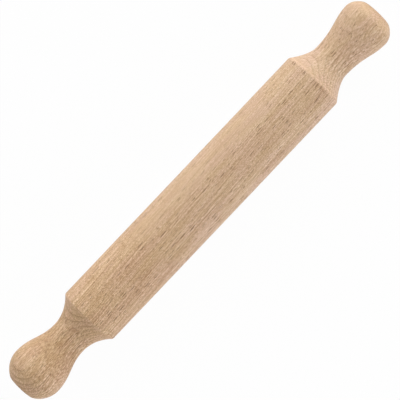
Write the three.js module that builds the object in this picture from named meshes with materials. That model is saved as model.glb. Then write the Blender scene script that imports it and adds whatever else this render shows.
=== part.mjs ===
// Revolving rolling pin in beech, in millimetres with +Z up.
// A barrel with a bush in each end turns on a steel axle, which ties two turned handles together.
// The pin lies along X on the plane z = 0, and x = 0 is halfway along it.
// Left is the -X end with the larger knob, right the +X end with the smaller one.

import * as THREE from 'three';

// Barrel
const BARREL_LENGTH = 250.2;
const BARREL_DIAMETER = 50.8;
const EDGE_BREAK = 0.25; // flat that takes the sharpness off the barrel's edges

// Left handle, measured outward from its face at the barrel
const LEFT_COVE_RUN = 10; // where the first slope of the cove would meet the neck
const LEFT_NECK_FROM_FACE = 22.6;
const LEFT_NECK_DIAMETER = 30.2;
const LEFT_CROWN_FROM_NECK = 35.2;
const LEFT_KNOB_DIAMETER = 44.7;
const LEFT_NECK_EASE = 14.5; // pull of the neck on the curve that swells into the knob
const LEFT_KNOB_EASE = 14.9; // pull of the knob's crown on the same curve
const LEFT_END_FROM_CROWN = 17.4;
const LEFT_END_FLAT_DIAMETER = 24;

// Right handle, measured the same way
const RIGHT_COVE_RUN = 12.3;
const RIGHT_NECK_FROM_FACE = 20.1;
const RIGHT_NECK_DIAMETER = 31.2;
const RIGHT_CROWN_FROM_NECK = 38.3;
const RIGHT_KNOB_DIAMETER = 42.4;
const RIGHT_NECK_EASE = 19.4;
const RIGHT_KNOB_EASE = 12.8;
const RIGHT_END_FROM_CROWN = 11.9;
const RIGHT_END_FLAT_DIAMETER = 26;

// Axle
const AXLE_DIAMETER = 8;
const AXLE_CHAMFER = 1;
const AXLE_PAST_INSERT = 3;

// Flanged bushes in the barrel's ends
const BUSH_WALL = 3;
const BUSH_LENGTH = 22;
const BUSH_LEAD = 0.8; // chamfer that starts the bush in its socket
const BUSH_FLANGE_DIAMETER = 24;
const BUSH_FLANGE_THICKNESS = 2;

// Thrust washers between bush and handle
const WASHER_DIAMETER = 21;
const WASHER_THICKNESS = 1.2;

// Threaded sleeves in the handles, with the thread left plain
const INSERT_WALL = 2.4;
const INSERT_LENGTH = 24;
const INSERT_LEAD = 1;
const INSERT_BELOW_WASHER = 2;

// Clearances
const SEAM_GAP = 0.25; // between the end of the barrel and the face of a handle
const THRUST_GAP = 0.15; // between a bush flange and its washer
const RUNNING_CLEARANCE = 0.2; // radial, between the axle and what turns on it
const SEAT_CLEARANCE = 0.1; // between a seated piece and its seat
const BORE_CLEARANCE = 1; // radial, between the axle and the long bore of the barrel
const DRILL_PAST_AXLE = 2; // straight end of the blind hole beyond the axle
const DRILL_TIP_ANGLE = 118; // degrees, included angle of the drill that made the blind hole

// Facets
const WOOD_SIDES = 48;
const SMALL_SIDES = 32;
const COVE_STEPS = 8;
const SWELL_STEPS = 12;
const KNOB_STEPS = 8;
const SAME_POINT = 1e-6;

const barrelRadius = BARREL_DIAMETER / 2;
const endFaceRadius = barrelRadius - EDGE_BREAK; // shared by the barrel's ends and the rims of the handles
const axleRadius = AXLE_DIAMETER / 2;
const axleHoleRadius = axleRadius + RUNNING_CLEARANCE;
const bushRadius = axleHoleRadius + BUSH_WALL;
const insertRadius = axleHoleRadius + INSERT_WALL;
const washerSeat = THRUST_GAP + WASHER_THICKNESS + SEAT_CLEARANCE; // from the barrel's end, as are the next three
const insertStart = washerSeat + INSERT_BELOW_WASHER;
const insertEnd = insertStart + INSERT_LENGTH;
const axleEnd = insertEnd + AXLE_PAST_INSERT;

const leftForm = {
  coveRun: LEFT_COVE_RUN,
  neckFromFace: LEFT_NECK_FROM_FACE,
  neckRadius: LEFT_NECK_DIAMETER / 2,
  crownFromNeck: LEFT_CROWN_FROM_NECK,
  knobRadius: LEFT_KNOB_DIAMETER / 2,
  neckEase: LEFT_NECK_EASE,
  knobEase: LEFT_KNOB_EASE,
  endFromCrown: LEFT_END_FROM_CROWN,
  endFlatRadius: LEFT_END_FLAT_DIAMETER / 2,
};

const rightForm = {
  coveRun: RIGHT_COVE_RUN,
  neckFromFace: RIGHT_NECK_FROM_FACE,
  neckRadius: RIGHT_NECK_DIAMETER / 2,
  crownFromNeck: RIGHT_CROWN_FROM_NECK,
  knobRadius: RIGHT_KNOB_DIAMETER / 2,
  neckEase: RIGHT_NECK_EASE,
  knobEase: RIGHT_KNOB_EASE,
  endFromCrown: RIGHT_END_FROM_CROWN,
  endFlatRadius: RIGHT_END_FLAT_DIAMETER / 2,
};

const beech = () => new THREE.MeshStandardMaterial({ color: 0xcfae8f, roughness: 0.62, metalness: 0 });
const steel = () => new THREE.MeshStandardMaterial({ color: 0xb9bcc0, roughness: 0.35, metalness: 1 });
const nylon = () => new THREE.MeshStandardMaterial({ color: 0xe9e6dc, roughness: 0.5, metalness: 0 });
const brass = () => new THREE.MeshStandardMaterial({ color: 0xc9a452, roughness: 0.35, metalness: 1 });

// A point of a profile: its distance from the pin's axis, then its place along the axis.
const at = (radius, along) => new THREE.Vector2(radius, along);

// Turns a profile about the local Y axis, with a facet square to each of X and Z.
function turned(profile, sides) {
  const isNew = (point, i) => i === 0 || point.distanceTo(profile[i - 1]) > SAME_POINT;
  return new THREE.LatheGeometry(profile.filter(isNew), sides, Math.PI / sides);
}

// Turns a profile that closes on itself clear of the axis, as a tube does.
function turnedRing(corners, sides) {
  return turned([...corners, corners[0]], sides);
}

function piece(name, geometry, material) {
  const mesh = new THREE.Mesh(geometry, material);
  mesh.name = name;
  return mesh;
}

// Barrel about its own middle: a long bore with, at each end, a socket and a flange recess for the bush.
function barrel() {
  const end = BARREL_LENGTH / 2;
  const recessFloor = end - BUSH_FLANGE_THICKNESS - SEAT_CLEARANCE;
  const recessRadius = BUSH_FLANGE_DIAMETER / 2 + SEAT_CLEARANCE;
  const socketFloor = end - BUSH_LENGTH - SEAT_CLEARANCE;
  const socketRadius = bushRadius + SEAT_CLEARANCE;
  const rightEnd = [
    at(barrelRadius, end - EDGE_BREAK),
    at(endFaceRadius, end),
    at(recessRadius, end),
    at(recessRadius, recessFloor),
    at(socketRadius, recessFloor),
    at(socketRadius, socketFloor),
    at(axleRadius + BORE_CLEARANCE, socketFloor),
  ];
  const leftEnd = rightEnd.map((point) => at(point.x, -point.y)).reverse();
  return piece('barrel', turnedRing([...rightEnd, ...leftEnd], WOOD_SIDES), beech());
}

// Axle about the middle of the barrel: a plain rod that reaches through both inserts.
function axle() {
  const end = BARREL_LENGTH / 2 + axleEnd;
  const profile = [
    at(0, -end),
    at(axleRadius - AXLE_CHAMFER, -end),
    at(axleRadius, -end + AXLE_CHAMFER),
    at(axleRadius, end - AXLE_CHAMFER),
    at(axleRadius - AXLE_CHAMFER, end),
    at(0, end),
  ];
  return piece('axle', turned(profile, SMALL_SIDES), steel());
}

// The pieces of one end are placed outward along +Y from the end of the barrel at y = 0.

// Bush: its flange lies flush with the barrel's end, its shank fills the socket.
function bush(name) {
  const corners = [
    at(axleHoleRadius, -BUSH_LENGTH),
    at(bushRadius - BUSH_LEAD, -BUSH_LENGTH),
    at(bushRadius, -BUSH_LENGTH + BUSH_LEAD),
    at(bushRadius, -BUSH_FLANGE_THICKNESS),
    at(BUSH_FLANGE_DIAMETER / 2, -BUSH_FLANGE_THICKNESS),
    at(BUSH_FLANGE_DIAMETER / 2, 0),
    at(axleHoleRadius, 0),
  ];
  return piece(name, turnedRing(corners, SMALL_SIDES), nylon());
}

function washer(name) {
  const inner = THRUST_GAP;
  const outer = THRUST_GAP + WASHER_THICKNESS;
  const corners = [
    at(axleHoleRadius, inner),
    at(WASHER_DIAMETER / 2, inner),
    at(WASHER_DIAMETER / 2, outer),
    at(axleHoleRadius, outer),
  ];
  return piece(name, turnedRing(corners, SMALL_SIDES), steel());
}

function insert(name) {
  const corners = [
    at(axleHoleRadius, insertStart),
    at(insertRadius - INSERT_LEAD, insertStart),
    at(insertRadius, insertStart + INSERT_LEAD),
    at(insertRadius, insertEnd - INSERT_LEAD),
    at(insertRadius - INSERT_LEAD, insertEnd),
    at(axleHoleRadius, insertEnd),
  ];
  return piece(name, turnedRing(corners, SMALL_SIDES), brass());
}

// Stepped blind hole of a handle, from the drill tip on the axis back to the handle's face.
function handleHole() {
  const drillRadius = axleHoleRadius;
  const drillEnd = axleEnd + DRILL_PAST_AXLE;
  const drillTip = drillEnd + drillRadius / Math.tan(THREE.MathUtils.degToRad(DRILL_TIP_ANGLE / 2));
  const insertHoleRadius = insertRadius + SEAT_CLEARANCE;
  const insertHoleEnd = insertEnd + SEAT_CLEARANCE;
  const washerRecessRadius = WASHER_DIAMETER / 2 + SEAT_CLEARANCE;
  return [
    at(0, drillTip),
    at(drillRadius, drillEnd),
    at(drillRadius, insertHoleEnd),
    at(insertHoleRadius, insertHoleEnd),
    at(insertHoleRadius, washerSeat),
    at(washerRecessRadius, washerSeat),
    at(washerRecessRadius, SEAM_GAP),
  ];
}

// Outside of a handle from its rim at the barrel: cove, swell, round of the knob, flat end.
function handleOutside(form) {
  const neck = SEAM_GAP + form.neckFromFace;
  const crown = neck + form.crownFromNeck;
  const cove = new THREE.QuadraticBezierCurve(
    at(endFaceRadius, SEAM_GAP),
    at(form.neckRadius, SEAM_GAP + form.coveRun),
    at(form.neckRadius, neck),
  );
  const swell = new THREE.CubicBezierCurve(
    at(form.neckRadius, neck),
    at(form.neckRadius, neck + form.neckEase),
    at(form.knobRadius, crown - form.knobEase),
    at(form.knobRadius, crown),
  );
  const knobTurn = Math.acos(form.endFlatRadius / form.knobRadius);
  const knobReach = form.endFromCrown / Math.sin(knobTurn);
  const knob = new THREE.EllipseCurve(0, crown, form.knobRadius, knobReach, 0, knobTurn);
  return [
    ...cove.getPoints(COVE_STEPS),
    ...swell.getPoints(SWELL_STEPS),
    ...knob.getPoints(KNOB_STEPS),
    at(0, crown + form.endFromCrown),
  ];
}

function handle(name, form) {
  return piece(name, turned([...handleHole(), ...handleOutside(form)], WOOD_SIDES), beech());
}

function handleReach(form) {
  return SEAM_GAP + form.neckFromFace + form.crownFromNeck + form.endFromCrown;
}

// One end of the pin, built along +Y and then laid along X, away from the barrel.
function pinEnd(side, form, barrelEnd, turnAboutZ) {
  const end = new THREE.Group();
  end.add(bush(`${side}_bush`), washer(`${side}_washer`), insert(`${side}_insert`), handle(`${side}_handle`, form));
  end.position.x = barrelEnd;
  end.rotation.z = turnAboutZ;
  return end;
}

function rollingPin() {
  const barrelMiddle = (handleReach(leftForm) - handleReach(rightForm)) / 2;
  const alongX = -Math.PI / 2;
  const roller = new THREE.Group();
  roller.add(barrel(), axle());
  roller.position.x = barrelMiddle;
  roller.rotation.z = alongX;

  const pin = new THREE.Group();
  pin.add(roller);
  pin.add(pinEnd('left', leftForm, barrelMiddle - BARREL_LENGTH / 2, -alongX));
  pin.add(pinEnd('right', rightForm, barrelMiddle + BARREL_LENGTH / 2, alongX));
  pin.position.z = barrelRadius * Math.cos(Math.PI / WOOD_SIDES); // the lowest facet lies on the table
  return pin;
}

export default rollingPin();
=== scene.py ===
# Looks of a turned beech rolling pin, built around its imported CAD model: wood, metal, camera and light.
# Lengths are in metres, in the frame of the CAD model: the pin lies along X on the plane z = 0.

import math

import bmesh
import bpy
from mathutils import Matrix, Vector


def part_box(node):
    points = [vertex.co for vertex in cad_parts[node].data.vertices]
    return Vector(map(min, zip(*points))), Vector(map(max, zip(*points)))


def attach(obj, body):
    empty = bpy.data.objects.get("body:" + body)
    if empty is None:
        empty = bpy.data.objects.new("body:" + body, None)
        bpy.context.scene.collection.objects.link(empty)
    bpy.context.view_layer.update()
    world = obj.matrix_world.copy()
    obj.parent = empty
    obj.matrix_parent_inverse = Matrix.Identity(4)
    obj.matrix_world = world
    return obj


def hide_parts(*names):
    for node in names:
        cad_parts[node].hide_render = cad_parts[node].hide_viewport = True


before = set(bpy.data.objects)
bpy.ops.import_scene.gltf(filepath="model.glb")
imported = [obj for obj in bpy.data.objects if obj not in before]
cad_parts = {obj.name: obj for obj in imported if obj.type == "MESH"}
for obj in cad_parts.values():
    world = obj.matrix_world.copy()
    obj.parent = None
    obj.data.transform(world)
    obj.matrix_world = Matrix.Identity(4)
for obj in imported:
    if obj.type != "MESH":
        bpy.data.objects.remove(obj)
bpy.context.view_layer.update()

MM = 0.001

# Places and sizes of the CAD solids
barrel_low, barrel_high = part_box("barrel")
AXIS_HEIGHT = (barrel_low.z + barrel_high.z) / 2
BARREL_RADIUS = (barrel_high.z - barrel_low.z) / 2
BARREL_MIDDLE = (barrel_low.x + barrel_high.x) / 2
BARREL_REACH = (barrel_high.x - barrel_low.x) / 2

# Handles, measured outward from the face at the barrel
LEFT_FORM = {
    "cove_run": 10 * MM,
    "neck_from_face": 22.6 * MM,
    "neck_radius": 15.1 * MM,
    "crown_from_neck": 35.2 * MM,
    "knob_radius": 22.35 * MM,
    "neck_ease": 14.5 * MM,
    "knob_ease": 14.9 * MM,
    "flat_radius": 12 * MM,
}
RIGHT_FORM = {
    "cove_run": 12.3 * MM,
    "neck_from_face": 20.1 * MM,
    "neck_radius": 15.6 * MM,
    "crown_from_neck": 38.3 * MM,
    "knob_radius": 21.2 * MM,
    "neck_ease": 19.4 * MM,
    "knob_ease": 12.8 * MM,
    "flat_radius": 13 * MM,
}
EDGE_SOFTENING = 1.5 * MM  # how far along the barrel its sanded edge starts to fall away
EDGE_PULL = 0.5 * MM  # how far from the end that edge would turn down if it were a corner
EDGE_DROP = 0.15 * MM  # how far that edge lies below the sharp one of the CAD solids
RIM_SOFTENING = 0.8 * MM  # how wide the rim around the flat end of a knob is rounded
SEAM_REACH = 0.085 * MM  # how far barrel and handle each reach into the seam, which leaves it a hairline
SEAT_CLEARANCE = 0.1 * MM
BORE_CLEARANCE = 1 * MM
DRILL_CLEARANCE = 0.2 * MM
DRILL_PAST_AXLE = 2 * MM
DRILL_TIP_LENGTH = 2.5 * MM

# Axle, bushes, washers and inserts
AXLE_HOLE_RADIUS = 4.2 * MM
AXLE_CHAMFER = 1 * MM
AXLE_PITCH = 1.25 * MM
AXLE_THREAD_DEPTH = 0.6 * MM
THREAD_CLEARANCE = 0.1 * MM
THREAD_CREST = 0.15  # width of a thread's crest, and of the bottom of its groove, as a share of the pitch
BUSH_RADIUS = 7.2 * MM
BUSH_FLANGE = 2 * MM
BUSH_LEAD = 0.8 * MM
INSERT_LEAD = 1 * MM
INSERT_PITCH = 3 * MM
INSERT_THREAD_DEPTH = 1 * MM
SMALL_ROUND = 0.4 * MM  # rounding of the edges of bushes and washers

# Mesh density
WOOD_SIDES = 160
BARREL_STEPS = 60
COVE_STEPS = 24
SWELL_STEPS = 40
KNOB_STEPS = 24
EDGE_STEPS = 8
SMALL_SIDES = 72
THREAD_SIDES = 36
AXLE_THREAD_STEPS = 6  # rings to each turn of a thread
INSERT_THREAD_STEPS = 12
SAME_POINT = 0.001 * MM  # points of a profile that lie nearer than this are one
SHARP_ANGLE = math.radians(35)

# Grain of the blank in millimetres: rings around a pith far below the pin, their faces turned up and to +Y
SHEET_TILT = math.radians(40)
PITH_DISTANCE = 110
RING_SPACING = 3.0
LATE_DEPTH = 20.9  # outer end of a dark ring, from the pin's axis
WANDER = 1.5  # how far the grain strays from a straight line
FIBRE_TWIST = 0.0022  # radians to a millimetre by which the fibres wind around the pin

# Sizes of the figure in millimetres: along the grain, then across it in two directions
WANDER_SIZE = (90, 30, 30)
RAGGED_SIZE = (14, 2.5, 2.5)
CLOUD_SIZE = (30, 8, 8)
LONG_RAY_CELL = (9.0, 0.8, 0.8)
SHORT_RAY_CELL = (4.5, 0.7, 0.7)
BARREL_GRAIN = {"fibre": (45, 0.45, 0.45), "speck": (1.2, 0.45, 0.45), "contrast": 1.0}
HANDLE_GRAIN = {"fibre": (32, 0.6, 1.2), "speck": (2.0, 0.5, 1.0), "contrast": 0.8}

# Strength of the figure
RAGGED_EDGE = 0.3  # how far the edges of a ring wander, as a share of its width
LONG_RAY_SHARE = 0.3  # share of the cells that hold a ray
SHORT_RAY_SHARE = 0.25
FAINT_RAY_SHARE = 0.2  # share of the cells whose ray isn't fully dark
SHORT_RAY_DARKNESS = 0.7
NOISE_MEAN = 0.5
FIBRE_REACH = 0.42  # how far from the mean of its noise a fibre or speck is fully dark or pale
SPECK_REACH = 0.38
WOOD_ROUGHNESS = 0.48
FIBRE_ROUGHNESS = 0.15
FIBRE_RELIEF = 0.5
RAY_RELIEF = 0.3
WOOD_RELIEF = (0.15, 0.1 * MM)  # strength and depth of the bump
WOOD_SPECULAR = 0.25

# Fades of the figure as (from, to, value before, value after), in millimetres unless said otherwise
RING_CHANCE = (0.0, 1.0, 0.8, 1.1)  # darkness of single rings, by a random number
LATE_RISE = (0.2, 0.8, 0.0, 0.4)  # darkening across a ring, by share of its width
LATE_BAND = (0.76, 0.9, 0.0, 0.6)
LATE_END = (0.92, 1.0, 1.0, 0.0)
RAY_SIZE = (0.0, 1.0, 0.26, 0.46)  # in cells, by a random number
RAY_EDGE = (0.6, 1.0, 1.0, 0.0)  # by share of the ray's size
CLOUD_EDGE = (0.35, 0.65, 0.0, 1.0)  # by the value of a noise

# By depth, from the pin's axis towards the bark
RINGS_ON_TOP = (20, 23.5, 1.0, 0.25)
RAYS_ON_TOP = (8, 20, 1.0, 0.85)
STREAKS_ON_TOP = (8, 20, 1.0, 0.83)
CLEAR_DEPTH = (22.5, 25, 0.0, 1.0)
# Painted bounce light from the table: paler, bluer wood on the lower side, towards the pith
PAINTED_BOUNCE_DEPTH = (-6, 9, 1.0, 0.0)

# By distance from the middle of the barrel, from the middle of its clear streak, and from its ends
RINGS_PAST_BARREL = (117, 127, 0.3, 1.0)
RINGS_ON_KNOBS = (145, 165, 1.0, 0.5)
CLEAR_MIDDLE = 17  # where the clear streak has its middle, along the pin
CLEAR_ENDS = (60, 85, 1.0, 0.0)
# Painted highlight: paler wood near the seams, where the rounded edges catch the light
PAINTED_HIGHLIGHT_EDGE = (0.5, 1.7, 1.0, 0.0)

# By place along the pin
RINGS_AT_LEFT_END = (-190, -178, 2.2, 1.0)
RINGS_ALONG_PIN = (-120, 120, 1.3, 0.95)
STREAKS_ALONG_PIN = (-90, 0, 1.1, 0.8)
STREAKS_ON_RIGHT_KNOB = (140, 170, 1.0, 0.8)
# Painted shade: the left half of the barrel darker and yellower, away from the key light
PAINTED_LEFT_SHADE_PLACE = (-80, 5, 1.0, 0.0)
# Painted shade in the left cove, darker and browner
COVE_SHADE_START = (-172, -162, 0.0, 1.0)
COVE_SHADE_END = (-122, -112, 1.0, 0.0)
COVE_SHADE_FADE = (-152, -142, 1.0, 0.15)
# Painted sheen on the right cove, paler and bluer, where it faces the key light
SHEEN_START = (126, 134, 0.0, 1.0)
SHEEN_END = (144, 150, 1.0, 0.0)

# By slope, which is 0 where the surface runs along the grain and 1 where it cuts square across
RAYS_ON_SLOPE = (0.1, 0.45, 1.0, 0.4)
STREAKS_ON_SLOPE = (0.1, 0.45, 1.0, 0.75)
END_GRAIN_SLOPE = (0.62, 1.0, 0.0, 1.0)

# By how clear the wood is, from 0 to 1
RAYS_IN_CLEAR = (0.0, 1.0, 1.0, 0.45)
STREAKS_IN_CLEAR = (0.0, 1.0, 1.0, 0.6)

# Metal and nylon
DRAWN_MARKS = (160 * MM, 1.1 * MM, 1.1 * MM)
PLATED_MARKS = (2.5 * MM, 2.5 * MM, 2.5 * MM)
TURNED_MARKS = (1.1 * MM, 16 * MM, 16 * MM)
MARK_LIGHT = (0.3, 0.7, 0.86, 1.0)
MARK_RANGE = (0.2, 0.8)  # values of the marks' noise between which the roughness changes
MARK_SMOOTHER = 0.06
MARK_ROUGHER = 0.08
STEEL_ROUGHNESS = 0.3
ZINC_ROUGHNESS = 0.38
BRASS_ROUGHNESS = 0.3
NYLON_ROUGHNESS = 0.45
NYLON_CLOUD_SIZE = (6 * MM, 6 * MM, 6 * MM)
NYLON_GRAIN_SIZE = (0.4 * MM, 0.4 * MM, 0.4 * MM)
FINE_RELIEF = (0.1, 0.05 * MM)  # strength and depth of the bump

# Photograph
PHOTO_PIXELS = 400
PIXELS_PER_METRE = 1300
PIN_ANGLE = math.radians(46.49)
CAMERA_DISTANCE = 1.4
CAMERA_LEAN = 0.01
SENSOR_WIDTH = 36
AIM = Vector((1.07 * MM, -0.28 * MM, AXIS_HEIGHT))

# Light and table; the height of a direction runs from 0 at the horizon to 1 overhead
HORIZON_LIGHT = 1.52
ZENITH_LIGHT = 0.05
SKY_FADES_FROM = 0.3
SKY_FADES_TO = 0.82
SKY_LOBES = 0.58  # how much brighter the horizon is at two opposite sides, and darker between them
SKY_LOBE_AZIMUTH = math.radians(72)
KEY_AZIMUTH = math.radians(20)
KEY_ELEVATION = math.radians(38)
KEY_DISTANCE = 3.0
KEY_SIZE = 2.0
KEY_POWER = 49
TABLE_SIZE = 8
WHITE_SHARE = 0.97  # of the table's look that is plain white; the rest shows the shadow


# Curves of a turned profile, as (place, radius) points

def quadratic(start, pull, end, steps):
    start, pull, end = Vector(start), Vector(pull), Vector(end)
    shares = [i / steps for i in range(steps + 1)]
    return [start * (1 - w) ** 2 + pull * 2 * w * (1 - w) + end * w ** 2 for w in shares]


def cubic(start, pull_a, pull_b, end, steps):
    start, pull_a, pull_b, end = Vector(start), Vector(pull_a), Vector(pull_b), Vector(end)
    shares = [i / steps for i in range(steps + 1)]
    return [
        start * (1 - w) ** 3 + pull_a * 3 * w * (1 - w) ** 2 + pull_b * 3 * w ** 2 * (1 - w) + end * w ** 3
        for w in shares
    ]


def ellipse(centre, reach, radius, turn, steps):
    turns = [turn * i / steps for i in range(steps + 1)]
    return [Vector((centre + reach * math.sin(a), radius * math.cos(a))) for a in turns]


def without_repeats(points):
    kept = [points[0]]
    for point in points[1:]:
        if (point - kept[-1]).length > SAME_POINT:
            kept.append(point)
    return kept


def set_out(profile, face, outward):
    """Moves a profile that is measured outward from a face to its place along the pin."""
    return [(face + outward * p[0], p[1]) for p in profile]


# Measures of the CAD solids

def radius_of(node):
    """Largest radius about the pin's axis."""
    low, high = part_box(node)
    return (high.z - low.z) / 2


def ends_of(node, outward):
    """Places of the end towards the barrel's middle and of the other end."""
    low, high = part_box(node)
    return (low.x, high.x) if outward > 0 else (high.x, low.x)


# Meshes

def turns(sides):
    return [2 * math.pi * i / sides for i in range(sides)]


def ringed_mesh(name, rings, closed):
    """Skins rings of (x, radii) about the pin's axis; a ring of one radius is a point on that axis."""
    mesh = bpy.data.meshes.new(name)
    shape = bmesh.new()
    rows = []
    for x, radii in rings:
        round_spots = zip(radii, turns(len(radii)))
        spots = [(x, r * math.cos(a), AXIS_HEIGHT + r * math.sin(a)) for r, a in round_spots]
        rows.append([shape.verts.new(spot) for spot in spots])
    sides = max(len(row) for row in rows)
    pairs = list(zip(rows, rows[1:]))
    if closed:
        pairs.append((rows[-1], rows[0]))
    for near, far in pairs:
        for i in range(sides):
            j = (i + 1) % sides
            corners = [near[i % len(near)], near[j % len(near)], far[j % len(far)], far[i % len(far)]]
            shape.faces.new(list(dict.fromkeys(corners)))
    bmesh.ops.recalc_face_normals(shape, faces=shape.faces)
    shape.to_mesh(mesh)
    shape.free()
    mesh.shade_smooth()
    mesh.set_sharp_from_angle(angle=SHARP_ANGLE)
    piece = bpy.data.objects.new(name, mesh)
    bpy.context.scene.collection.objects.link(piece)
    return piece


def turned_mesh(name, profile, closed, sides=WOOD_SIDES):
    """Turns (x, radius) points about the pin's axis; a closed profile joins its last point to its first."""
    points = without_repeats([Vector(p) for p in profile])
    rings = [(x, [radius] * sides if radius > 0 else [0]) for x, radius in points]
    return ringed_mesh(name, rings, closed)


def barrel_wood():
    """The roller, with its softened edges, long bore and the sockets of the bushes."""
    bush_low, bush_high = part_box("right_bush")
    end = BARREL_REACH + SEAM_REACH
    straight_end = end - EDGE_SOFTENING
    flange_radius = radius_of("right_bush") + SEAT_CLEARANCE
    flange_floor = BARREL_REACH - BUSH_FLANGE - SEAT_CLEARANCE
    socket_radius = BUSH_RADIUS + SEAT_CLEARANCE
    socket_floor = BARREL_REACH - (bush_high.x - bush_low.x) - SEAT_CLEARANCE
    bore_radius = radius_of("axle") + BORE_CLEARANCE
    edge = quadratic(
        (straight_end, BARREL_RADIUS),
        (end - EDGE_PULL, BARREL_RADIUS),
        (end, radius_of("right_handle") - EDGE_DROP),
        EDGE_STEPS,
    )
    half = edge + [
        Vector((end, flange_radius)),
        Vector((flange_floor, flange_radius)),
        Vector((flange_floor, socket_radius)),
        Vector((socket_floor, socket_radius)),
        Vector((socket_floor, bore_radius)),
    ]
    mirrored = [Vector((-p.x, p.y)) for p in reversed(half)]
    shares = [2 * i / BARREL_STEPS - 1 for i in range(1, BARREL_STEPS)]
    straight = [Vector((straight_end * share, BARREL_RADIUS)) for share in shares]
    profile = set_out(half + mirrored + straight, BARREL_MIDDLE, 1)
    return turned_mesh("barrel_wood", profile, closed=True)


def handle_hole(side, face, outward):
    """Stepped blind hole, from its drill point to the face: room for the axle, the insert and the washer."""

    def far_end(node):
        return abs(ends_of(node, outward)[1] - face)

    washer_floor = far_end(f"{side}_washer") + SEAT_CLEARANCE
    washer_radius = radius_of(f"{side}_washer") + SEAT_CLEARANCE
    insert_floor = far_end(f"{side}_insert") + SEAT_CLEARANCE
    insert_radius = radius_of(f"{side}_insert") + SEAT_CLEARANCE
    drill_end = far_end("axle") + DRILL_PAST_AXLE
    drill_radius = radius_of("axle") + DRILL_CLEARANCE
    return [
        (drill_end + DRILL_TIP_LENGTH, 0),
        (drill_end, drill_radius),
        (insert_floor, drill_radius),
        (insert_floor, insert_radius),
        (washer_floor, insert_radius),
        (washer_floor, washer_radius),
        (-SEAM_REACH, washer_radius),
    ]


def handle_outside(form, length, rim_radius):
    """Cove, neck, swell, knob and flat end, from the face outward."""
    neck_radius = form["neck_radius"]
    knob_radius = form["knob_radius"]
    flat_radius = form["flat_radius"]
    neck = form["neck_from_face"]
    crown = neck + form["crown_from_neck"]
    cove = quadratic(
        (-SEAM_REACH, rim_radius),
        (form["cove_run"], neck_radius),
        (neck, neck_radius),
        COVE_STEPS,
    )
    swell = cubic(
        (neck, neck_radius),
        (neck + form["neck_ease"], neck_radius),
        (crown - form["knob_ease"], knob_radius),
        (crown, knob_radius),
        SWELL_STEPS,
    )
    turn = math.acos(flat_radius / knob_radius)
    knob_reach = (length - crown) / math.sin(turn)
    knob = ellipse(crown, knob_reach, knob_radius, turn - RIM_SOFTENING / knob_radius, KNOB_STEPS)
    rim = quadratic(knob[-1], (length, flat_radius), (length, flat_radius - RIM_SOFTENING), EDGE_STEPS)
    return cove + swell + knob + rim + [Vector((length, 0))]


def handle_wood(side, form, outward):
    """A handle in one turned piece, with the hole for its bearings."""
    node = f"{side}_handle"
    face, tip = ends_of(node, outward)
    hole = handle_hole(side, face, outward)
    outside = handle_outside(form, abs(tip - face), radius_of(node) - EDGE_DROP)
    profile = set_out(hole + outside, face, outward)
    return turned_mesh(f"{side}_handle_wood", profile, closed=False)


def places(start, end, step):
    count = max(1, round(abs(end - start) / step))
    return [start + (end - start) * i / count for i in range(count + 1)]


def clamped(share):
    return min(max(share, 0), 1)


def thread_cuts(x, span, pitch, depth):
    """Depths of a right-hand thread around a place, fading out over the turn at each end of its span."""
    start, end = span
    fade = clamped(min(x - start, end - x) / pitch)
    cuts = []
    for angle in turns(THREAD_SIDES):
        turn = x / pitch - angle / (2 * math.pi)
        groove = 1 - abs(2 * (turn % 1) - 1)
        groove = clamped((groove - THREAD_CREST) / (1 - 2 * THREAD_CREST))
        cuts.append(depth * groove * fade)
    return cuts


def axle_thread_span(side, outward):
    """The axle is threaded from a turn before the insert to past its own end."""
    insert_low, insert_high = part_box(f"{side}_insert")
    axle_low, axle_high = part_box("axle")
    if outward > 0:
        return insert_low.x - AXLE_PITCH, axle_high.x + AXLE_PITCH
    return axle_low.x - AXLE_PITCH, insert_high.x + AXLE_PITCH


def axle_rod():
    """Drawn rod, chamfered and threaded at both ends."""
    low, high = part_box("axle")
    radius = radius_of("axle")
    left_span = axle_thread_span("left", -1)
    right_span = axle_thread_span("right", 1)
    step = AXLE_PITCH / AXLE_THREAD_STEPS
    along = places(low.x, left_span[1], step) + places(right_span[0], high.x, step)
    rings = [(low.x, [0])]
    for x in along:
        span = left_span if x < BARREL_MIDDLE else right_span
        from_tip = min(x - low.x, high.x - x)
        widest = min(radius, radius - AXLE_CHAMFER + from_tip)
        cuts = thread_cuts(x, span, AXLE_PITCH, AXLE_THREAD_DEPTH)
        rings.append((x, [min(widest, radius - cut) for cut in cuts]))
    rings.append((high.x, [0]))
    return ringed_mesh("axle_rod", rings, closed=False)


def insert_sleeve(side, outward):
    """Brass sleeve with a coarse thread for the wood outside and the axle's thread inside."""
    low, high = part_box(f"{side}_insert")
    radius = radius_of(f"{side}_insert")
    bore_radius = radius_of("axle") + THREAD_CLEARANCE
    axle_span = axle_thread_span(side, outward)
    rings = []
    for x in places(low.x, high.x, INSERT_PITCH / INSERT_THREAD_STEPS):
        from_end = min(x - low.x, high.x - x)
        widest = min(radius, radius - INSERT_LEAD + from_end)
        cuts = thread_cuts(x, (low.x, high.x), INSERT_PITCH, INSERT_THREAD_DEPTH)
        rings.append((x, [min(widest, radius - cut) for cut in cuts]))
    for x in places(high.x, low.x, AXLE_PITCH / AXLE_THREAD_STEPS):
        cuts = thread_cuts(x, axle_span, AXLE_PITCH, AXLE_THREAD_DEPTH)
        rings.append((x, [bore_radius - cut for cut in cuts]))
    return ringed_mesh(f"{side}_insert_sleeve", rings, closed=True)


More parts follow.
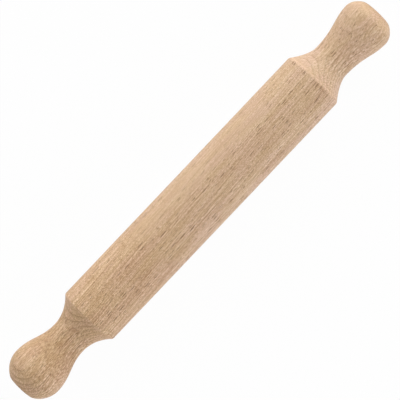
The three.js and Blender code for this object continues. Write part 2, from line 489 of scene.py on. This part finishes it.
def bush_moulding(side, outward):
    """Flanged bush: its face lies flush with the barrel's end, its shank has a lead-in."""
    inner, face = ends_of(f"{side}_bush", outward)
    length = abs(face - inner)
    flange_radius = radius_of(f"{side}_bush")
    shank = [
        (-length, AXLE_HOLE_RADIUS),
        (-length, BUSH_RADIUS - BUSH_LEAD),
        (-length + BUSH_LEAD, BUSH_RADIUS),
        (-BUSH_FLANGE, BUSH_RADIUS),
        (-BUSH_FLANGE, flange_radius),
    ]
    rim = quadratic(
        (-SMALL_ROUND, flange_radius),
        (0, flange_radius),
        (0, flange_radius - SMALL_ROUND),
        EDGE_STEPS,
    )
    mouth = quadratic(
        (0, AXLE_HOLE_RADIUS + SMALL_ROUND),
        (0, AXLE_HOLE_RADIUS),
        (-SMALL_ROUND, AXLE_HOLE_RADIUS),
        EDGE_STEPS,
    )
    profile = set_out(shank + rim + mouth, face, outward)
    return turned_mesh(f"{side}_bush_moulding", profile, closed=True, sides=SMALL_SIDES)


def washer_disc(side, outward):
    """Stamped washer: the edge towards the barrel is rounded by the die, the other one is left sharp."""
    inner, outer = ends_of(f"{side}_washer", outward)
    radius = radius_of(f"{side}_washer")
    rounded = inner + outward * SMALL_ROUND
    edge = quadratic((inner, radius - SMALL_ROUND), (inner, radius), (rounded, radius), EDGE_STEPS)
    profile = edge + [
        (outer, radius),
        (outer, AXLE_HOLE_RADIUS),
        (inner, AXLE_HOLE_RADIUS),
    ]
    return turned_mesh(f"{side}_washer_disc", profile, closed=True, sides=SMALL_SIDES)


# Materials

class Graph:
    """Writes the nodes of a material or world as nested calls: a value is a socket or a plain number."""

    def __init__(self, owner):
        self.owner = owner
        owner.use_nodes = True
        self.tree = owner.node_tree
        self.tree.nodes.clear()

    def fill(self, socket, value):
        if isinstance(value, bpy.types.NodeSocket):
            self.tree.links.new(value, socket)
        else:
            socket.default_value = value

    def node(self, kind, inputs, **settings):
        made = self.tree.nodes.new(kind)
        for key, value in settings.items():
            setattr(made, key, value)
        for key, value in inputs.items():
            self.fill(made.inputs[key], value)
        return made

    def math(self, operation, a, b=0.0, c=0.0):
        return self.node("ShaderNodeMath", {0: a, 1: b, 2: c}, operation=operation).outputs[0]

    def product(self, first, *others):
        for other in others:
            first = self.math("MULTIPLY", first, other)
        return first

    def vector(self, operation, a, b):
        return self.node("ShaderNodeVectorMath", {0: a, 1: b}, operation=operation).outputs["Vector"]

    def dot(self, a, b):
        return self.node("ShaderNodeVectorMath", {0: a, 1: b}, operation="DOT_PRODUCT").outputs["Value"]

    def combine(self, x, y, z):
        return self.node("ShaderNodeCombineXYZ", {0: x, 1: y, 2: z}).outputs[0]

    def noise(self, place, size, detail=2.0, roughness=0.5):
        """Noise with features of about the given size along each axis of the place."""
        scaled = self.vector("DIVIDE", place, size)
        inputs = {"Vector": scaled, "Scale": 1.0, "Detail": detail, "Roughness": roughness}
        return self.node("ShaderNodeTexNoise", inputs)

    def step(self, value, low, high, to_low=0.0, to_high=1.0):
        inputs = {"Value": value, "From Min": low, "From Max": high, "To Min": to_low, "To Max": to_high}
        return self.node("ShaderNodeMapRange", inputs, interpolation_type="SMOOTHSTEP").outputs["Result"]

    def blend(self, share, a, b, mode="MIX"):
        made = self.node("ShaderNodeMix", {}, data_type="RGBA", blend_type=mode)
        for index, value in ((0, share), (6, a), (7, b)):
            self.fill(made.inputs[index], value)
        return made.outputs[2]

    def tinted(self, shade, tint, share=1.0):
        return self.blend(share, shade, tint, "MULTIPLY")

    def bump(self, height, strength, distance):
        inputs = {"Strength": strength, "Distance": distance, "Height": height}
        return self.node("ShaderNodeBump", inputs).outputs[0]

    def output(self, kind, shader):
        self.tree.links.new(shader, self.tree.nodes.new(kind).inputs["Surface"])
        return self.owner

    def surface(self, **inputs):
        """Principled surface; underscores in the names stand for spaces."""
        made = self.node("ShaderNodeBsdfPrincipled", {k.replace("_", " "): v for k, v in inputs.items()})
        return self.output("ShaderNodeOutputMaterial", made.outputs[0])


def colour(red, green, blue):
    return (red, green, blue, 1.0)


PALE_WOOD = colour(0.66, 0.46, 0.304)
LATE_WOOD = colour(0.49, 0.322, 0.193)
FLECK = colour(0.2, 0.1, 0.04)
DARK_STREAK = colour(0.73, 0.63, 0.51)
PALE_STREAK = colour(1.27, 1.37, 1.49)
# Painted highlight on the rounded edges at the seams
PAINTED_HIGHLIGHT_TINT = colour(1.12, 1.14, 1.17)
PINK_TINT = colour(1.01, 0.985, 1.0)
STRAW_TINT = colour(1.0, 0.995, 0.935)
# Painted bounce light from the table: paler, bluer wood on the lower side
PAINTED_BOUNCE_TINT = colour(1.04, 1.05, 1.12)
# Painted shade on the left half of the barrel, away from the key light
PAINTED_LEFT_SHADE_TINT = colour(0.98, 0.945, 0.89)
# Painted shade in the left cove
PAINTED_COVE_SHADE_TINT = colour(0.885, 0.86, 0.815)
# Painted sheen on the right cove, which faces the key light
PAINTED_SHEEN_TINT = colour(1.02, 1.045, 1.1)
END_GRAIN_TINT = colour(0.76, 0.7, 0.63)
STEEL = colour(0.56, 0.57, 0.58)
ZINC = colour(0.54, 0.55, 0.57)
BRASS = colour(0.62, 0.42, 0.14)
DULL_NYLON = colour(0.76, 0.74, 0.68)
PALE_NYLON = colour(0.83, 0.81, 0.75)
TABLE_GREY = colour(0.9, 0.9, 0.9)
WHITE = colour(1, 1, 1)


def sheet_place(g, place):
    """How far a place lies from the pin's axis towards the bark, and how far across."""
    depth = g.dot(place, (0, math.sin(SHEET_TILT), math.cos(SHEET_TILT)))
    across = g.dot(place, (0, math.cos(SHEET_TILT), -math.sin(SHEET_TILT)))
    return depth, across


def pith_radius(g, depth, across):
    from_pith = g.math("ADD", depth, PITH_DISTANCE)
    square = g.math("MULTIPLY_ADD", from_pith, from_pith, g.math("MULTIPLY", across, across))
    return g.math("SQRT", square)


class Blank:
    """Where a point of the wood lies in its blank, in millimetres, as sockets of a graph."""

    def __init__(self, g):
        coordinates = g.node("ShaderNodeTexCoord", {})
        place = g.vector("MULTIPLY", coordinates.outputs["Object"], (1 / MM, 1 / MM, 1 / MM))
        self.place = g.vector("SUBTRACT", place, (0, 0, AXIS_HEIGHT / MM))
        self.along = g.dot(self.place, (1, 0, 0))
        self.from_middle = g.math("ABSOLUTE", g.math("SUBTRACT", self.along, BARREL_MIDDLE / MM))
        self.slope = g.math("ABSOLUTE", g.dot(coordinates.outputs["Normal"], (1, 0, 0)))
        drift = g.noise(self.place, WANDER_SIZE, detail=1.0).outputs["Color"]
        drift = g.vector("SUBTRACT", drift, (NOISE_MEAN, NOISE_MEAN, NOISE_MEAN))
        drift = g.vector("MULTIPLY", drift, (0, 2 * WANDER, 2 * WANDER))
        bent = g.vector("ADD", self.place, drift)
        self.depth, across = sheet_place(g, bent)
        self.radius = pith_radius(g, self.depth, across)
        self.cut = self.fibre_place(g, bent)

    def fibre_place(self, g, bent):
        """Place along the fibres, around the pith and away from it."""
        turn = g.math("MULTIPLY", self.along, FIBRE_TWIST)
        twisted = g.node("ShaderNodeVectorRotate", {"Vector": bent, "Angle": turn}, rotation_type="X_AXIS")
        depth, across = sheet_place(g, twisted.outputs[0])
        angle = g.math("ARCTAN2", across, g.math("ADD", depth, PITH_DISTANCE))
        girth = g.math("MULTIPLY", angle, PITH_DISTANCE)
        return g.combine(self.along, girth, pith_radius(g, depth, across))


def growth_rings(g, wood):
    """Late wood, dark before each ring's outer end: clear in the coves, faint on top and on the knobs."""
    ragged = g.noise(wood.cut, RAGGED_SIZE, detail=3.0, roughness=0.65).outputs["Fac"]
    ring = g.math("DIVIDE", g.math("SUBTRACT", wood.radius, PITH_DISTANCE + LATE_DEPTH), RING_SPACING)
    ring = g.math("MULTIPLY_ADD", ragged, RAGGED_EDGE, g.math("SUBTRACT", ring, RAGGED_EDGE * NOISE_MEAN))
    share = g.math("FRACT", ring)
    number = g.math("FLOOR", ring)
    chance = g.node("ShaderNodeTexWhiteNoise", {"W": number}, noise_dimensions="1D").outputs["Value"]
    return g.product(
        g.math("ADD", g.step(share, *LATE_BAND), g.step(share, *LATE_RISE)),
        g.step(share, *LATE_END),
        g.step(chance, *RING_CHANCE),
        g.step(wood.depth, *RINGS_ON_TOP),
        g.step(wood.from_middle, *RINGS_PAST_BARREL),
        g.step(wood.from_middle, *RINGS_ON_KNOBS),
        g.step(wood.along, *RINGS_AT_LEFT_END),
        g.step(wood.along, *RINGS_ALONG_PIN),
    )


def clear_streak(g, wood):
    """1 on a calm streak along the middle of the barrel, on the side of the bark, and 0 elsewhere."""
    from_clear = g.math("ABSOLUTE", g.math("SUBTRACT", wood.along, CLEAR_MIDDLE))
    return g.product(g.step(wood.depth, *CLEAR_DEPTH), g.step(from_clear, *CLEAR_ENDS))


def ray_flecks(g, wood, cell, share):
    """Short dark dashes along the grain, one at most in each cell."""
    cells = g.node("ShaderNodeTexVoronoi", {"Vector": g.vector("DIVIDE", wood.cut, cell), "Scale": 1.0})
    chance = g.node("ShaderNodeSeparateColor", {0: cells.outputs["Color"]}).outputs
    size = g.step(chance[1], *RAY_SIZE)
    body = g.step(g.math("DIVIDE", cells.outputs["Distance"], size), *RAY_EDGE)
    chosen = g.step(chance[0], 1 - share, 1 - share + FAINT_RAY_SHARE)
    return g.product(body, chosen)


def rays(g, wood, clear):
    """Rays, cut as dashes: few where the wood is cut aslant and on the clear streak."""
    long_rays = ray_flecks(g, wood, LONG_RAY_CELL, LONG_RAY_SHARE)
    short_rays = ray_flecks(g, wood, SHORT_RAY_CELL, SHORT_RAY_SHARE)
    return g.product(
        g.math("MAXIMUM", long_rays, g.math("MULTIPLY", short_rays, SHORT_RAY_DARKNESS)),
        g.step(clear, *RAYS_IN_CLEAR),
        g.step(wood.slope, *RAYS_ON_SLOPE),
        g.step(wood.depth, *RAYS_ON_TOP),
    )


def slow_tints(g, wood, shade):
    """Slow changes of tint: clouds of the wood's own tone, then painted light: painted bounce light on the
    lower side, towards the pith, and at places along the pin painted shade on the left half and in the left
    cove and a painted sheen on the right cove.
    """
    cloud = g.noise(wood.place, CLOUD_SIZE).outputs["Fac"]
    cove_shade = [g.step(wood.along, *fade) for fade in (COVE_SHADE_START, COVE_SHADE_END, COVE_SHADE_FADE)]
    sheen = [g.step(wood.along, *fade) for fade in (SHEEN_START, SHEEN_END)]
    shade = g.tinted(shade, g.blend(g.step(cloud, *CLOUD_EDGE), PINK_TINT, STRAW_TINT))
    # Painted bounce light on the lower side
    shade = g.tinted(shade, PAINTED_BOUNCE_TINT, g.step(wood.depth, *PAINTED_BOUNCE_DEPTH))
    # Painted shade on the left half of the barrel
    shade = g.tinted(shade, PAINTED_LEFT_SHADE_TINT, g.step(wood.along, *PAINTED_LEFT_SHADE_PLACE))
    # Painted shade in the left cove
    shade = g.tinted(shade, PAINTED_COVE_SHADE_TINT, g.product(*cove_shade))
    # Painted sheen on the right cove
    return g.tinted(shade, PAINTED_SHEEN_TINT, g.product(*sheen))


def streaked(g, shade, fibre, speck):
    for streak, reach in ((fibre, FIBRE_REACH), (speck, SPECK_REACH)):
        share = g.step(streak, NOISE_MEAN - reach, NOISE_MEAN + reach)
        shade = g.tinted(shade, g.blend(share, DARK_STREAK, PALE_STREAK))
    return shade


def streak_contrast(g, wood, clear, contrast):
    """Strength of the fibres and specks."""
    return g.product(
        contrast,
        g.step(wood.slope, *STREAKS_ON_SLOPE),
        g.step(clear, *STREAKS_IN_CLEAR),
        g.step(wood.depth, *STREAKS_ON_TOP),
        g.step(wood.along, *STREAKS_ALONG_PIN),
        g.step(wood.along, *STREAKS_ON_RIGHT_KNOB),
    )


def beech(name, grain):
    """Solid beech: growth rings, rays and fibres in three dimensions, so every cut shows its own figure."""
    g = Graph(bpy.data.materials.new(name))
    wood = Blank(g)
    clear = clear_streak(g, wood)
    ray = rays(g, wood, clear)
    fibre = g.noise(wood.cut, grain["fibre"], detail=0.0).outputs["Fac"]
    speck = g.noise(wood.cut, grain["speck"], detail=0.0).outputs["Fac"]
    from_seam = g.math("ABSOLUTE", g.math("SUBTRACT", wood.from_middle, BARREL_REACH / MM))
    shade = g.blend(growth_rings(g, wood), PALE_WOOD, LATE_WOOD)
    # Besides clouds, these tints hold painted shade, a painted sheen and painted bounce light
    shade = slow_tints(g, wood, shade)
    contrast = streak_contrast(g, wood, clear, grain["contrast"])
    shade = g.blend(contrast, shade, streaked(g, shade, fibre, speck))
    shade = g.blend(ray, shade, FLECK)
    # Painted highlight along the seams of barrel and handles
    shade = g.tinted(shade, PAINTED_HIGHLIGHT_TINT, g.step(from_seam, *PAINTED_HIGHLIGHT_EDGE))
    shade = g.tinted(shade, END_GRAIN_TINT, g.step(wood.slope, *END_GRAIN_SLOPE))
    roughness = g.math("MULTIPLY_ADD", fibre, FIBRE_ROUGHNESS, WOOD_ROUGHNESS)
    hollow = g.math("MULTIPLY", ray, RAY_RELIEF)
    height = g.math("SUBTRACT", g.math("MULTIPLY", fibre, FIBRE_RELIEF), hollow)
    normal = g.bump(height, *WOOD_RELIEF)
    return g.surface(Base_Color=shade, Roughness=roughness, Specular_IOR_Level=WOOD_SPECULAR, Normal=normal)


def metal(name, base, mark_size, roughness):
    """Bright metal with tool marks, as long along each axis as the piece was drawn, stamped or turned."""
    g = Graph(bpy.data.materials.new(name))
    place = g.node("ShaderNodeTexCoord", {}).outputs["Object"]
    marks = g.noise(place, mark_size, detail=3.0).outputs["Fac"]
    light = g.step(marks, *MARK_LIGHT)
    shade = g.tinted(base, g.combine(light, light, light))
    rough = g.step(marks, *MARK_RANGE, roughness - MARK_SMOOTHER, roughness + MARK_ROUGHER)
    normal = g.bump(marks, *FINE_RELIEF)
    return g.surface(Base_Color=shade, Metallic=1.0, Roughness=rough, Normal=normal)


def nylon(name):
    """Moulded natural nylon, faintly clouded."""
    g = Graph(bpy.data.materials.new(name))
    place = g.node("ShaderNodeTexCoord", {}).outputs["Object"]
    cloud = g.noise(place, NYLON_CLOUD_SIZE, detail=3.0).outputs["Fac"]
    grain = g.noise(place, NYLON_GRAIN_SIZE).outputs["Fac"]
    shade = g.blend(cloud, DULL_NYLON, PALE_NYLON)
    normal = g.bump(grain, *FINE_RELIEF)
    return g.surface(Base_Color=shade, Roughness=NYLON_ROUGHNESS, Normal=normal)


# Stage

def seen_rays(g):
    """1 for rays that show the surroundings, straight, mirrored or through glass, and 0 for all others."""
    path = g.node("ShaderNodeLightPath", {}).outputs
    seen = g.math("MAXIMUM", path["Is Camera Ray"], path["Is Glossy Ray"])
    return g.math("MAXIMUM", seen, path["Is Transmission Ray"])


def floor():
    """A white table top that keeps a soft trace of the pin's shadow."""
    bpy.ops.mesh.primitive_plane_add(size=TABLE_SIZE)
    table = bpy.context.object
    table.name = "table"
    g = Graph(bpy.data.materials.new("table_white"))
    matte = g.node("ShaderNodeBsdfDiffuse", {"Color": TABLE_GREY}).outputs[0]
    white = g.node("ShaderNodeEmission", {"Color": WHITE, "Strength": 1.0}).outputs[0]
    share = g.math("MULTIPLY", seen_rays(g), WHITE_SHARE)
    mixed = g.node("ShaderNodeMixShader", {0: share, 1: matte, 2: white}).outputs[0]
    table.data.materials.append(g.output("ShaderNodeOutputMaterial", mixed))


def sky():
    """Plain studio light, brightest at the horizon and at two opposite sides; white where it is seen."""
    g = Graph(bpy.data.worlds.new("studio"))
    direction = g.node("ShaderNodeTexCoord", {}).outputs["Generated"]
    height = g.dot(direction, (0, 0, 1))
    level = g.step(height, SKY_FADES_FROM, SKY_FADES_TO, HORIZON_LIGHT, ZENITH_LIGHT)
    towards = g.dot(direction, (math.cos(SKY_LOBE_AZIMUTH), math.sin(SKY_LOBE_AZIMUTH), 0))
    aside = g.dot(direction, (-math.sin(SKY_LOBE_AZIMUTH), math.cos(SKY_LOBE_AZIMUTH), 0))
    lobes = g.math("SUBTRACT", g.math("MULTIPLY", towards, towards), g.math("MULTIPLY", aside, aside))
    level = g.math("MULTIPLY", level, g.math("MULTIPLY_ADD", lobes, SKY_LOBES, 1.0))
    lit = g.node("ShaderNodeBackground", {"Color": WHITE, "Strength": level}).outputs[0]
    white = g.node("ShaderNodeBackground", {"Color": WHITE, "Strength": 1.0}).outputs[0]
    mixed = g.node("ShaderNodeMixShader", {0: seen_rays(g), 1: lit, 2: white}).outputs[0]
    bpy.context.scene.world = g.output("ShaderNodeOutputWorld", mixed)


def key_light():
    """A large soft lamp on the side of the smaller knob."""
    data = bpy.data.lights.new("key", "AREA")
    data.energy = KEY_POWER
    data.size = KEY_SIZE
    lamp = bpy.data.objects.new("key", data)
    level = Vector((math.cos(KEY_AZIMUTH), math.sin(KEY_AZIMUTH), 0))
    direction = level * math.cos(KEY_ELEVATION) + Vector((0, 0, math.sin(KEY_ELEVATION)))
    lamp.location = AIM + direction * KEY_DISTANCE
    lamp.rotation_euler = direction.to_track_quat("Z", "Y").to_euler()
    bpy.context.scene.collection.objects.link(lamp)


def camera():
    """Straight above the pin, turned so that the pin rises to the upper right."""
    data = bpy.data.cameras.new("camera")
    data.sensor_width = SENSOR_WIDTH
    data.lens = SENSOR_WIDTH * PIXELS_PER_METRE * CAMERA_DISTANCE / PHOTO_PIXELS
    back = Vector((math.sin(CAMERA_LEAN), 0, math.cos(CAMERA_LEAN)))
    image_up = Vector((math.sin(PIN_ANGLE), math.cos(PIN_ANGLE), 0))
    right = image_up.cross(back).normalized()
    up = back.cross(right)
    view = bpy.data.objects.new("camera", data)
    turn = Matrix((right, up, back)).transposed().to_4x4()
    view.matrix_world = Matrix.Translation(AIM + back * CAMERA_DISTANCE) @ turn
    bpy.context.scene.collection.objects.link(view)
    bpy.context.scene.camera = view


def build():
    """Makes every piece, gives it the finish of its slot, ties it to its body and hides the CAD solid it
    stands in for.
    """
    finishes = {
        "beech_barrel": beech("beech_barrel_wood", BARREL_GRAIN),
        "beech_handle": beech("beech_handle_wood", HANDLE_GRAIN),
        "axle_steel": metal("drawn_steel", STEEL, DRAWN_MARKS, STEEL_ROUGHNESS),
        "washer_steel": metal("zinc_plate", ZINC, PLATED_MARKS, ZINC_ROUGHNESS),
        "insert_brass": metal("turned_brass", BRASS, TURNED_MARKS, BRASS_ROUGHNESS),
        "bush_nylon": nylon("moulded_nylon"),
    }
    pieces = [
        (barrel_wood(), "barrel", "barrel", "beech_barrel"),
        (axle_rod(), "axle", "handles", "axle_steel"),
    ]
    for side, form, outward in (("left", LEFT_FORM, -1), ("right", RIGHT_FORM, 1)):
        pieces += [
            (handle_wood(side, form, outward), f"{side}_handle", "handles", "beech_handle"),
            (bush_moulding(side, outward), f"{side}_bush", "barrel", "bush_nylon"),
            (washer_disc(side, outward), f"{side}_washer", "handles", "washer_steel"),
            (insert_sleeve(side, outward), f"{side}_insert", "handles", "insert_brass"),
        ]
    for piece, node, body, slot in pieces:
        piece.data.materials.append(finishes[slot])
        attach(piece, body)
        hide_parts(node)


build()
floor()
sky()
key_light()
camera()
bpy.context.scene.view_settings.view_transform = "Standard"
